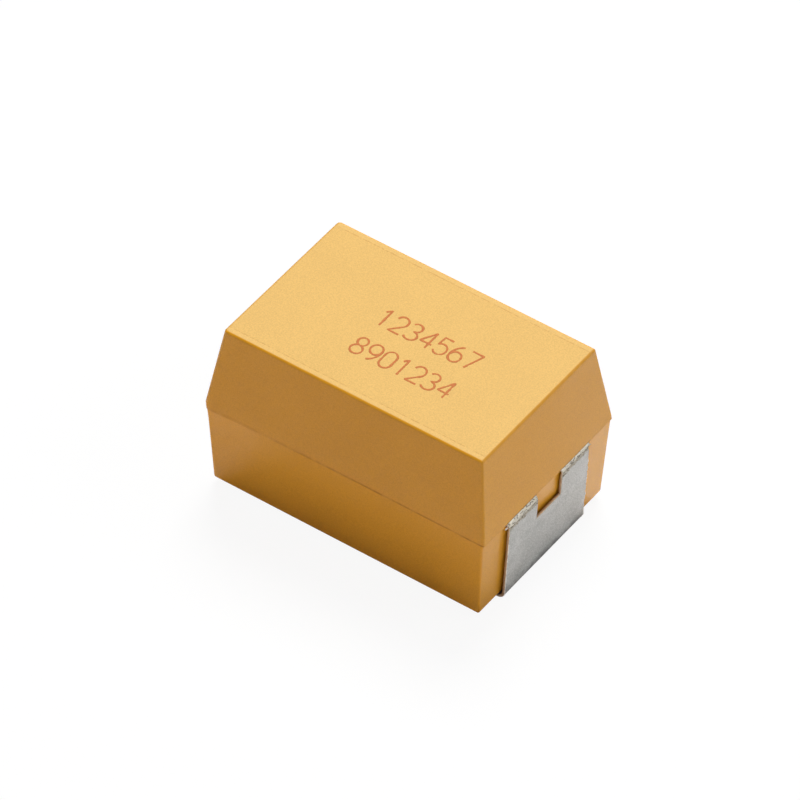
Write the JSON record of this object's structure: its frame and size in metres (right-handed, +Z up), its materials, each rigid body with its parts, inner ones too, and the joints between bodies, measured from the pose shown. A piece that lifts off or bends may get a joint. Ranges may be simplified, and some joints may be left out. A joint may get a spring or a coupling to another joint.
{
  "type": "moulded stack ceramic capacitor",
  "caption": "Surface-mount block of stacked ceramic chips between folded tinned leads, moulded in golden epoxy with drafted halves and feet that solder to a board.",
  "frame": {"origin": "on the seating plane under the middle of the case, where the feet meet the board", "axes": "+X along the case from the left lead to the right lead, +Z up from the board"},
  "size_m": [0.0106, 0.007, 0.0065],
  "materials": {
    "epoxy": "matte",
    "tinned_copper": "matte",
    "solder": "satin",
    "ceramic": "satin",
    "termination": "matte"
  },
  "bodies": {
    "root": {"moulded_case": "epoxy", "lead_left": "tinned_copper", "solder_left": "solder", "lead_right": "tinned_copper", "solder_right": "solder", "ceramic_chip_1": "ceramic", "end_cap_1_left": "termination", "end_cap_1_right": "termination", "ceramic_chip_2": "ceramic", "end_cap_2_left": "termination", "end_cap_2_right": "termination", "ceramic_chip_3": "ceramic", "end_cap_3_left": "termination", "end_cap_3_right": "termination", "ceramic_chip_4": "ceramic", "end_cap_4_left": "termination", "end_cap_4_right": "termination"}
  },
  "joints": []
}
